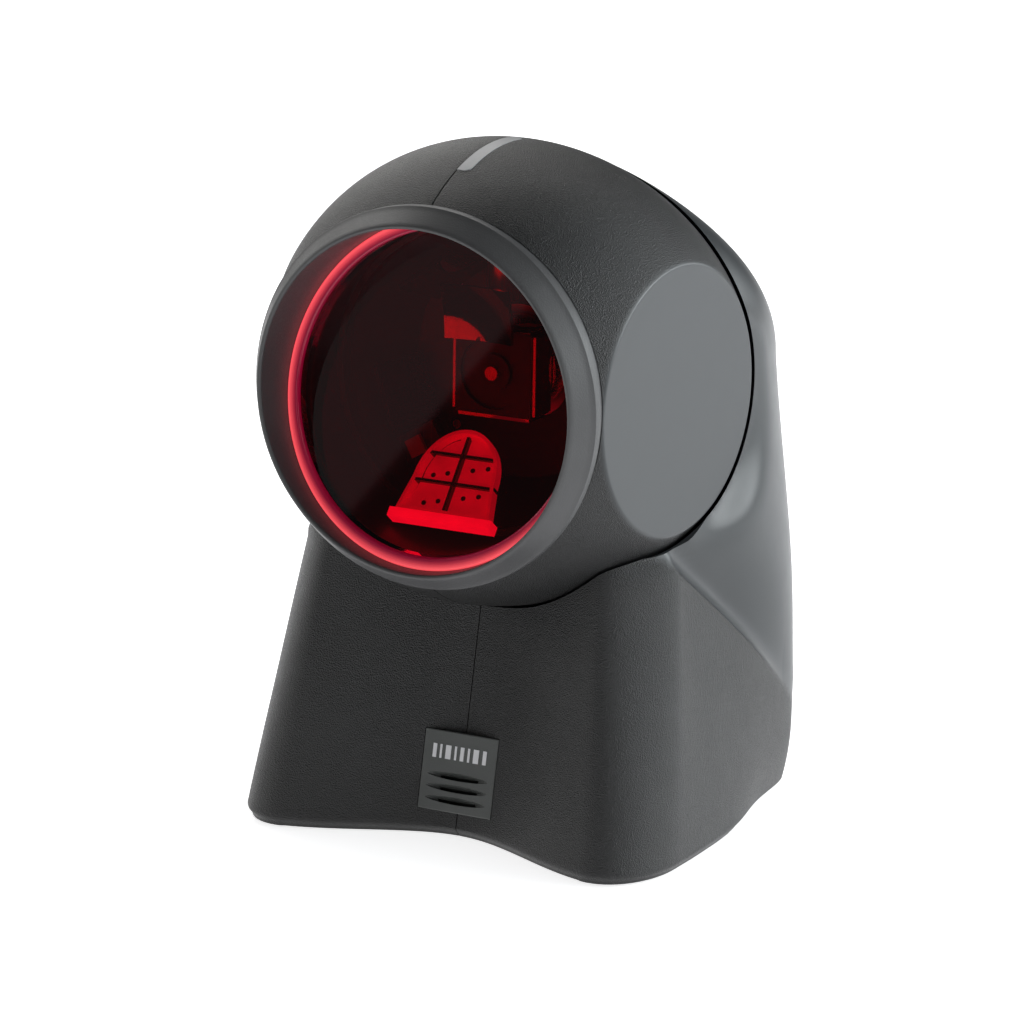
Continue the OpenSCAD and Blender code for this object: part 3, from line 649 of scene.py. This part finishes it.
def hood_opening():
    """Side outline of the air that the head looks out through, as (y, z) from the pivot axis."""
    points = [(-90, 61), (11, 61)]
    points += [bezier((12, 47), (12.6, 42), (15, 36), (21, 26.5), k / 10) for k in range(11)]
    points += arc(0, 0, DISC_R + 0.35, 40, -52, 30)
    points += [bezier((14, -26), (9, -29.3), (4, -33), (-4, -33.2), k / 10) for k in range(11)]
    points.append((-90, -33.2))
    return points


BADGE_W, BADGE_H, BADGE_BOTTOM, BADGE_OUT, BADGE_SUNK = 18, 17.4, 6, 1.9, 1


def on_panel():
    """Origin at the bottom middle of the badge's back, +Z out of the panel, +Y up along it."""
    lean = math.atan(PANEL_LEAN)
    place = Matrix.Translation((0, HEAD_Y + front_mid(BADGE_BOTTOM - FOOT_GAP), BADGE_BOTTOM))
    return place @ Matrix.Rotation(math.pi / 2 - lean, 4, "X")


JACK_W, JACK_TOP = 15.6, 17.7


def stand_shell(side):
    name = "stand_shell_right" if side > 0 else "stand_shell_left"
    heights = spaced(0, LIP_H, 0.5) + spaced(LIP_H + 1, 130, 1.6) + spaced(131.2, 145.4, 1.1)
    shell = mesh_object(name, *column_loft(heights, 0))
    cut_with(shell, column_loft(spaced(-1, 88, 5), STAND_WALL, 2))
    cut_with(shell, box((-1, -100, -1), (SEAM / 2, 100, 200)))
    cut_with(shell, ball_room(BALL_ROOM), at_head())
    opening = at_head() @ Matrix.Translation((0, 0, -SIDE_DROOP)) @ SIDEWAYS
    cut_with(shell, prism(hood_opening(), -100, 100), opening)
    pocket = box((-BADGE_W / 2 - 0.1, -0.1, -BADGE_SUNK), (BADGE_W / 2 + 0.1, BADGE_H + 0.1, 10))
    cut_with(shell, pocket, on_panel())
    cut_with(shell, box((-1, 40, -1), (JACK_W / 2 + 0.3, 60, JACK_TOP)))
    if side < 0:
        shell.data.transform(MIRROR_X)
    tidy_normals(shell)
    # Grain mask: 0 on the smooth hood above the ridge, which then takes the smooth tone with its painted
    # sheen.
    paint(shell, "grain", lambda x, y, z: 1 - smooth((z - FOOT_GAP - ridge_h(y - HEAD_Y)) / 2.5))
    return shell


# ---------------------------------------------------------------- shape of the head

def half_ball_profile(seam_round=0.25, disc_round=0.7):
    """(x, r) round one half shell's section: out along the ball, in across the disc, back inside."""
    def ellipse(a, wall=0):
        return (BALL_HALF_L - wall) * math.sin(a), (BALL_R - wall) * math.cos(a)

    last = math.asin(DISC_X / BALL_HALF_L)
    points = [(SEAM / 2, BALL_R - seam_round)]
    points += [(SEAM / 2 + 0.3 * seam_round, BALL_R - 0.3 * seam_round)]
    points += [ellipse(last * k / 60 * 0.985) for k in range(1, 61)]
    start = ellipse(last * 0.985)
    corner = (DISC_X, DISC_R)
    end = (DISC_X, DISC_R - disc_round)
    points += [bezier(start, corner, corner, end, k / 8) for k in range(1, 9)]
    points += [(DISC_X, DISC_R * (1 - k / 10)) for k in range(1, 10)] + [(DISC_X, 0.01)]
    inner_x = DISC_X - HEAD_WALL
    last = math.asin(inner_x / (BALL_HALF_L - HEAD_WALL))
    points.append((inner_x, 0.01))
    points += [ellipse(last * (1 - k / 24), HEAD_WALL) for k in range(24)]
    points.append((SEAM / 2, BALL_R - HEAD_WALL))
    return points


def half_ball(around=256):
    verts = []
    profile = half_ball_profile()
    for x, r in profile:
        for i in range(around):
            a = 2 * math.pi * i / around
            y, z = r * math.cos(a), r * math.sin(a)
            verts.append((x * (1 + BALL_TAPER * y), y, z - droop(x)))
    return verts, ring_faces(len(profile), around, True)


def neck_slot():
    """The slot in the head that the neck stands in, long enough for the whole tilt."""
    half_angle = TILT + math.degrees(math.asin(NECK_HALF_W / (BALL_R - HEAD_WALL))) + 1
    sector = arc(0, 0, 60, -90 - half_angle, -90 + half_angle, 24)
    near = arc(0, 0, 30, -90 + half_angle, -90 - half_angle, 12)
    return prism(sector + near, -NECK_HALF_W, NECK_HALF_W)


LIGHT_FROM, LIGHT_TO, LIGHT_W = -19, 4.6, 2.9


def light_strip(extra, outer_r, inner_r):
    """A curved strip over the top of the ball, beside the seam, with rounded ends."""
    x0, x1 = SEAM / 2 - extra, SEAM / 2 + LIGHT_W + extra
    rows = spaced(LIGHT_FROM - extra, LIGHT_TO + extra, 0.8)
    rings = []
    for y in rows:
        ends = min(y - rows[0], rows[-1] - y)
        right = x1 - 1.1 * (1 - math.sqrt(clamp01(ends / 1.4) * (2 - clamp01(ends / 1.4))))
        ring = []
        for r in (inner_r, outer_r):
            for x in ((x0, right) if r == inner_r else (right, mix(x0, right, 0.5), x0)):
                spread = math.sqrt(max(0, 1 - (x / BALL_HALF_L) ** 2))
                ring.append((x, y, math.sqrt((r * spread) ** 2 - y * y)))
        rings.append(ring)
    return loft(rings)


LIGHT_INNER_R = 46.8
SCREW_PLACES = ((12.5, 43.4), (-6.3, -44.8), (42.4, 15.7))


def head_shell(side):
    name = "head_shell_right" if side > 0 else "head_shell_left"
    shell = mesh_object(name, *half_ball(), at_head())
    cut_with(shell, cylinder(BEZEL_R - 0.25, 0, 90, 256), facing_front())
    cut_with(shell, neck_slot(), along_neck() @ SIDEWAYS)
    if side > 0:
        cut_with(shell, light_strip(0.12, 60, 44), at_head())
    else:
        for y, z in SCREW_PLACES:
            well = at_head() @ Matrix.Translation((0, y, z)) @ X_AXIS
            cut_with(shell, cylinder(2.4, 11, 60, 48), well)
        shell.data.transform(MIRROR_X)
    tidy_normals(shell)

    # Grain mask: 0 on the smooth disc, which then takes the smooth tone with its painted sheen.
    paint(shell, "grain", lambda x, y, z: smooth((disc_plane(y - HEAD_Y) - abs(x)) / 0.7))
    return shell


def window_bezel():
    """The ring round the window: a coned face that rises to a rounded lip round the bore."""
    body_r = BEZEL_R - 0.4
    face = 32.6
    profile = [(BORE_R, 10), (body_r, 10), (body_r, 30.2), (BEZEL_R, 30.35)]
    profile += arc(BEZEL_R - 0.35, face - 0.45, 0.35, 0, 49, 4)
    for k in range(1, 8):
        t = k / 8
        profile.append((mix(BEZEL_R - 0.3, BORE_R + 1.1, t), mix(face - 0.1, LIP_OUT - 0.45, t)))
    profile += arc(BORE_R + 0.55, LIP_OUT - 0.55, 0.55, 49, 180, 8)
    profile += [(BORE_R, mix(LIP_OUT - 1, 12, k / 6)) for k in range(6)]
    return mesh_object("window_bezel", *lathe(profile, 256), facing_front(), 50)


def pane_place(r, a, offset):
    """A point on the leaning pane, offset along the way the window faces."""
    x, y = r * math.cos(a), r * math.sin(a)
    return x, y, WINDOW_OUT - math.tan(math.radians(WINDOW_LEAN)) * y + offset


def pane_rings(profile, around):
    """Points of a profile of (radius, offset) swept round the leaning pane."""
    verts = []
    for r, offset in profile:
        for i in range(around):
            verts.append(pane_place(r, 2 * math.pi * i / around, offset))
    return verts


def window_pane():
    around = 192
    edge = BORE_R - RIM_W - 0.05
    profile = [(r, 0) for r in (0.01, 6, 12, 18, 24, 30, edge)] + [(edge, -WINDOW_T)]
    profile += [(r, -WINDOW_T) for r in (30, 24, 18, 12, 6, 0.01)]
    verts = pane_rings(profile, around)
    return mesh_object("window_pane", verts, ring_faces(len(profile), around, True), facing_front())


def window_rim():
    """The pane's raised edge, whose lip attribute is 1 along the outside and 0 along the inside, and sets
    where the rim's painted glow is strongest.
    """
    around = 256
    outer, inner = BORE_R - 0.12, BORE_R - RIM_W
    profile = [(inner, -WINDOW_T), (inner, 0.2)]
    profile += arc(inner + 0.5, RIM_H - 0.5, 0.5, 180, 90, 5)
    profile += arc(outer - 0.4, RIM_H - 0.4, 0.4, 90, 0, 5)
    profile += [(outer, -WINDOW_T)]
    verts = pane_rings(profile, around)
    rim = mesh_object("window_rim", verts, ring_faces(len(profile), around, True), facing_front(), 50)
    lip = rim.data.attributes.new("lip", "FLOAT", "POINT")
    lip.data.foreach_set("value", [smooth((math.hypot(x, y) - inner - 0.9) / 1.2) for x, y, z in verts])
    return rim


def light_pipe():
    return mesh_object("light_pipe", *light_strip(0, BALL_R + 0.12, LIGHT_INNER_R), at_head(), 50)


# ---------------------------------------------------------------- badge

SLOT_PITCH, SLOT_W, SLOT_H = 2.6, 15, 1.5


def capsule(length, height, steps=8):
    """Outline of a bar with round ends, centred on the origin."""
    half = (length - height) / 2
    return arc(half, 0, height / 2, -90, 90, steps) + arc(-half, 0, height / 2, 90, 270, steps)


def lens(half_l, half_h, depth, rings=24, around=24):
    """Points and faces of a long scoop, deepest in the middle and pointed at both ends."""
    turns = [2 * math.pi * i / around for i in range(around)]
    slices = []
    for k in range(rings + 1):
        x = half_l * (2 * k / rings - 1) * 0.999
        size = 1 - (x / half_l) ** 2
        height = half_h * size ** 0.6
        slices.append([(x, height * math.cos(b), depth * size * math.sin(b)) for b in turns])
    return loft(slices)


def speaker_badge():
    """Plate with softened edges and three scooped louvres."""
    soft = 0.25
    levels = (
        (-BADGE_SUNK, 0),
        (BADGE_OUT - soft, 0),
        (BADGE_OUT - 0.3 * soft, 0.3 * soft),
        (BADGE_OUT, soft),
    )
    rings = []
    for z, inset in levels:
        right, top = BADGE_W / 2 - inset, BADGE_H - inset
        rings.append([(right, inset, z), (right, top, z), (-right, top, z), (-right, inset, z)])
    plate = mesh_object("speaker_badge", *loft(rings), on_panel(), 20)
    for row in range(3):
        y = 2.6 + SLOT_PITCH * row
        lean = Matrix.Rotation(math.radians(-25), 4, "X")
        scoop = on_panel() @ Matrix.Translation((0, y, BADGE_OUT)) @ lean
        cut_with(plate, lens(SLOT_W / 2, SLOT_H / 2, 1.9), scoop)
        cut_with(plate, prism(capsule(0.62 * SLOT_W, 0.5 * SLOT_H), -6, 0), scoop)
    tidy_normals(plate, 20)
    return plate


# ---------------------------------------------------------------- inside the window

HOLDER_TILT, HOLDER_X, HOLDER_Y, HOLDER_Z = 52, -1, -20.5, 14
HOLDER_W, HOLDER_H, HOLDER_ARCH = 11.3, 20, 8.2
CROSS_RIBS = (7, 13.6)


def on_holder():
    """Origin at the foot of the ribbed holder, +Z out of its face, +Y up it."""
    place = facing_front() @ Matrix.Translation((HOLDER_X, HOLDER_Y, HOLDER_Z))
    turn = Matrix.Rotation(math.radians(HOLDER_TILT - 90), 4, "X")
    return place @ turn @ Matrix.Translation((0, -HOLDER_H / 2, 0))


def holder_outline(inset):
    points = [(-(HOLDER_W - inset), inset), (HOLDER_W - inset, inset)]
    for k in range(25):
        a = math.pi * k / 24
        height = HOLDER_ARCH + (HOLDER_H - HOLDER_ARCH - inset) * math.sin(a)
        points.append(((HOLDER_W - 1.6 - inset) * math.cos(a), height))
    return points


def ribbed_holder():
    """Arched rim round a plate, with slots down the middle of the plate and along the rim's left side."""
    plate_t, rim_h, rim_w, slot_w = 1.4, 2.5, 0.8, 1.1
    holder = mesh_object("ribbed_mirror_holder", *prism(holder_outline(0), 0, rim_h), on_holder())
    cut_with(holder, prism(holder_outline(rim_w), plate_t, rim_h + 1), on_holder())
    side_slot = mesh_object("cutter", *prism(holder_outline(rim_w), -1, rim_h), on_holder())
    cut_with(side_slot, prism(holder_outline(rim_w + slot_w), -2, rim_h + 1), on_holder())
    cut_with(side_slot, box((-2, -5, -2), (30, 30, rim_h + 1)), on_holder())
    cut_with(side_slot, box((-30, -5, -2), (30, 3, rim_h + 1)), on_holder())
    boolean(holder, side_slot)
    cut_with(holder, box((-slot_w / 2, 1.2, -1), (slot_w / 2, HOLDER_H - 1.8, rim_h)), on_holder())
    tidy_normals(holder, 30)
    return holder


def holder_ribs():
    """The holder's cross ribs and round ejector marks, all in a near-black red that is painted shade."""
    rib_h, rib_w, mark_r, mark_h = 2.3, 0.65, 0.55, 1.5
    upright = box((-rib_w / 2, 1, -1), (rib_w / 2, HOLDER_H - 1.6, rib_h))
    ribs = mesh_object("holder_ribs", *upright, on_holder())
    for y in CROSS_RIBS:
        half = HOLDER_W - 1.2 if y < HOLDER_ARCH else HOLDER_W - 3.4
        cut_with(ribs, box((-half, y, 0.3), (half, y + rib_w, rib_h)), on_holder(), "UNION")
        for x in (-5.6, -2.4, 3.2, 6.6):
            mark = on_holder() @ Matrix.Translation((x, y - 3.2 + 0.25 * x, 0))
            cut_with(ribs, cylinder(mark_r, 0.3, mark_h, 32), mark, "UNION")
    tidy_normals(ribs, 30)
    return ribs


# ---------------------------------------------------------------- camera, light and floor

def camera_axes(azimuth, elevation, roll, pan, nod):
    """Right, up and forward of a camera at azimuth and elevation, turned a little off its aim, and the
    way from the aim back to it."""
    a, e = math.radians(azimuth), math.radians(elevation)
    back = Vector((math.sin(a) * math.cos(e), -math.cos(a) * math.cos(e), math.sin(e)))
    right = (-back).cross(Vector((0, 0, 1))).normalized()
    up = right.cross(-back)
    forward = (-back + math.tan(math.radians(pan)) * right + math.tan(math.radians(nod)) * up).normalized()
    right = forward.cross(Vector((0, 0, 1))).normalized()
    up = right.cross(forward)
    c, s = math.cos(math.radians(roll)), math.sin(math.radians(roll))
    return c * right + s * up, c * up - s * right, forward, back


def add_camera():
    right, up, forward, back = camera_axes(28.56, 12.33, 0.86, 0.20, -1.72)
    data = bpy.data.cameras.new("camera")
    data.lens = 164.66
    data.sensor_width = 36
    data.clip_start = 0.01
    camera = bpy.data.objects.new("camera", data)
    bpy.context.scene.collection.objects.link(camera)
    centre = Vector((0, HEAD_Y, HEAD_Z)) * MM
    turn = Matrix((right, up, -forward)).transposed().to_4x4()
    camera.matrix_world = Matrix.Translation(centre + back * 1.0) @ turn
    bpy.context.scene.camera = camera


def area_light(name, place, size, brightness, colour=(1, 1, 1)):
    """A rectangle of light that shines along its own -Z, unseen by the camera itself."""
    data = bpy.data.lights.new(name, "AREA")
    data.shape = "RECTANGLE"
    data.size, data.size_y = size
    data.energy = brightness * math.pi * size[0] * size[1]
    data.color = colour
    light = bpy.data.objects.new(name, data)
    bpy.context.scene.collection.objects.link(light)
    light.visible_camera = False
    light.matrix_world = place


def add_floor():
    half = 3000
    corners = [(-half, -half, 0), (half, -half, 0), (half, half, 0), (-half, half, 0)]
    floor = mesh_object("floor", corners, [(0, 1, 2, 3)])
    t = Tree("pale_floor")
    t.principled(Base_Color=t.blend(t.noise(3), grey(0.8), grey(0.84)), Roughness=0.6,
                 Emission_Color=(1, 1, 1, 1), Emission_Strength=0.8)
    floor.data.materials.append(t.material)


def add_world():
    world = bpy.data.worlds.new("studio")
    world.use_nodes = True
    background = world.node_tree.nodes["Background"]
    background.inputs["Color"].default_value = (1, 1, 1, 1)
    background.inputs["Strength"].default_value = 0.04
    bpy.context.scene.world = world
    bpy.context.scene.view_settings.view_transform = "Standard"


# Soft boxes round the object: azimuth, elevation, side of the box in metres, then brightness
LOW_BOX, HIGH_BOX = 0.55, 0.75
SOFT_BOXES = (
    (0, 10, LOW_BOX, 1.1),
    (80, 30, HIGH_BOX, 2.2),
    (100, 14, LOW_BOX, 5.6),
    (120, 14, LOW_BOX, 8.6),
    (140, 14, LOW_BOX, 4.2),
    (160, 14, LOW_BOX, 2.0),
    (-60, 14, LOW_BOX, 0.8),
    (-80, 14, LOW_BOX, 2.4),
    (-120, 14, LOW_BOX, 1.2),
    (-140, 14, LOW_BOX, 1.2),
    (120, 40, HIGH_BOX, 2.8),
    (-90, 40, HIGH_BOX, 1.0),
    (-120, 40, HIGH_BOX, 2.2),
    (-150, 40, HIGH_BOX, 2.2),
)
BOX_DISTANCE = 1.6
BOX_TARGET = (0, 0, 0.08)
COOL, WARM = (0.93, 0.98, 1.0), (1.0, 0.99, 0.97)

# A dim card whose near edge the window mirrors as a slanting line, in millimetres; its size in metres
CARD_EDGE = ((-507, -907, 195), (-444, -904, 291))
CARD_SIDE = (-0.80, 0.29, 0.52)
CARD_SIZE = (0.6, 1.4)
CARD_BRIGHTNESS = 0.15


def add_soft_boxes():
    """Cool boxes on the right and warm ones on the left, all facing the object."""
    for azimuth, elevation, side, brightness in SOFT_BOXES:
        back = camera_axes(azimuth, elevation, 0, 0, 0)[3]
        turn = (-back).to_track_quat("-Z", "Y").to_matrix().to_4x4()
        place = Matrix.Translation(Vector(BOX_TARGET) + back * BOX_DISTANCE) @ turn
        tint = COOL if azimuth > 0 else WARM
        area_light(f"soft_box_{azimuth}_{elevation}", place, (side, side), brightness, tint)


def add_window_card():
    low, high = (Vector(point) * MM for point in CARD_EDGE)
    along = (high - low).normalized()
    across = -Vector(CARD_SIDE).normalized()
    middle = (low + high) / 2 - across * CARD_SIZE[0] / 2
    turn = Matrix((across, along, across.cross(along))).transposed().to_4x4()
    area_light("window_card", Matrix.Translation(middle) @ turn, CARD_SIZE, CARD_BRIGHTNESS)


# ---------------------------------------------------------------- putting it together

def wear(obj, material):
    obj.data.materials.clear()
    obj.data.materials.append(material)


def finish_piece(piece, material, body, slot, *nodes):
    """Gives a piece its material, its body, and the CAD nodes it stands for; slot is not used."""
    wear(piece, material)
    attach(piece, body)
    if nodes:
        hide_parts(*nodes)


def carried_materials():
    """Material slot of the record to procedural material, for the CAD nodes that stay."""
    return {
        "inner_plastic": plain_material("moulded_black", grey(0.012), grey(0.022), 0.5),
        "structure_plastic": plain_material("glass_filled_plastic", grey(0.03), grey(0.05), 0.6),
        "rubber": rubber_material(),
        "foam_rubber": rubber_material("foam_rubber"),
        "ballast": metal_material("cast_ballast", (0.25, 0.25, 0.26), 0.6),
        "screw_steel": metal_material("plated_screws", (0.62, 0.62, 0.6), 0.32),
        "bracket_steel": metal_material("sheet_steel", (0.6, 0.61, 0.63), 0.35, (1, 12, 1)),
        "pin_steel": metal_material("ground_steel", (0.5, 0.5, 0.52), 0.25, (12, 1, 1)),
        "slip_plastic": plain_material("acetal", (0.62, 0.61, 0.57, 1), (0.7, 0.69, 0.65, 1), 0.35),
        "print_white": plain_material("badge_print", grey(0.6), grey(0.68), 0.5, 900),
        "cone_paper": plain_material("speaker_paper", (0.2, 0.18, 0.15, 1), (0.28, 0.26, 0.22, 1), 0.85, 900),
        "board_green": board_material(),
        "chip_black": plain_material("chip_resin", grey(0.01), grey(0.02), 0.45, 900),
        "gold_contact": metal_material("gold_contacts", (0.85, 0.62, 0.22), 0.2),
        "brass_insert": metal_material("turned_brass", (0.7, 0.5, 0.2), 0.3, (1, 1, 12)),
        # The carried red parts glow faintly with painted light.
        "red_plastic": red_plastic_material("red_plastic", 0.3, 0.02),
        "led_lens": clear_material(),
        "mirror": mirror_material(),
        "copper_coil": metal_material("copper_windings", (0.6, 0.25, 0.1), 0.35, (1, 1, 14)),
    }


# Smooth disc and hood: a lighter, bluer base colour that is painted sheen from the cool soft boxes.
SMOOTH_SHEEN_TONE = (0.036, 0.040, 0.043, 1)
BADGE_DARK, BADGE_LIGHT = (0.066, 0.07, 0.068, 1), (0.08, 0.085, 0.082, 1)
grained = plastic_material("textured_shell", grey(0.008), grey(0.012), 0.32, 3300, 1.0, SMOOTH_SHEEN_TONE)
satin = plastic_material("satin_bezel", grey(0.055), grey(0.066), 0.34, 2600, 0.15)
badge_plastic = plastic_material("badge_plastic", BADGE_DARK, BADGE_LIGHT, 0.3, 3000, 0.1)
# The ribbed holder glows with painted light.
painted_light_red = red_plastic_material("painted_light_red_plastic", 0.9, 0.42)
# The holder's ribs and ejector marks are darkened with painted shade.
painted_shade_red = red_plastic_material("painted_shade_red_plastic", 0.08, 0.0)
# The holder's ledge glows brightest, with painted light.
painted_glow_red = red_plastic_material("painted_glow_red_plastic", 1.0, 1.1)
carried = carried_materials()

finish_piece(stand_shell(-1), grained, "stand", "textured_plastic", "stand_shell_left")
finish_piece(stand_shell(1), grained, "stand", "textured_plastic", "stand_shell_right")
finish_piece(head_shell(-1), grained, "head", "textured_plastic", "head_shell_left")
finish_piece(head_shell(1), grained, "head", "textured_plastic", "head_shell_right")
finish_piece(window_bezel(), satin, "head", "satin_plastic", "window_bezel")
finish_piece(window_pane(), pane_material(), "head", "red_window", "window")
finish_piece(window_rim(), rim_material(), "head", "red_window")
finish_piece(light_pipe(), light_pipe_material(), "head", "light_pipe", "light_pipe")
finish_piece(speaker_badge(), badge_plastic, "stand", "satin_plastic", "speaker_badge")
finish_piece(ribbed_holder(), painted_light_red, "head", "red_plastic", "ribbed_mirror_holder")
finish_piece(holder_ribs(), painted_shade_red, "head", "red_plastic")

slots = {part["node"]: part["material_slot"] for part in frame["record"]["subparts"]}
for node, obj in frame["nodes"].items():
    if slots[node] in carried:
        wear(obj, carried[slots[node]])
# The ledge takes the brightest painted glow.
wear(frame["nodes"]["holder_ledge"], painted_glow_red)

add_camera()
add_world()
add_floor()
add_soft_boxes()
add_window_card()
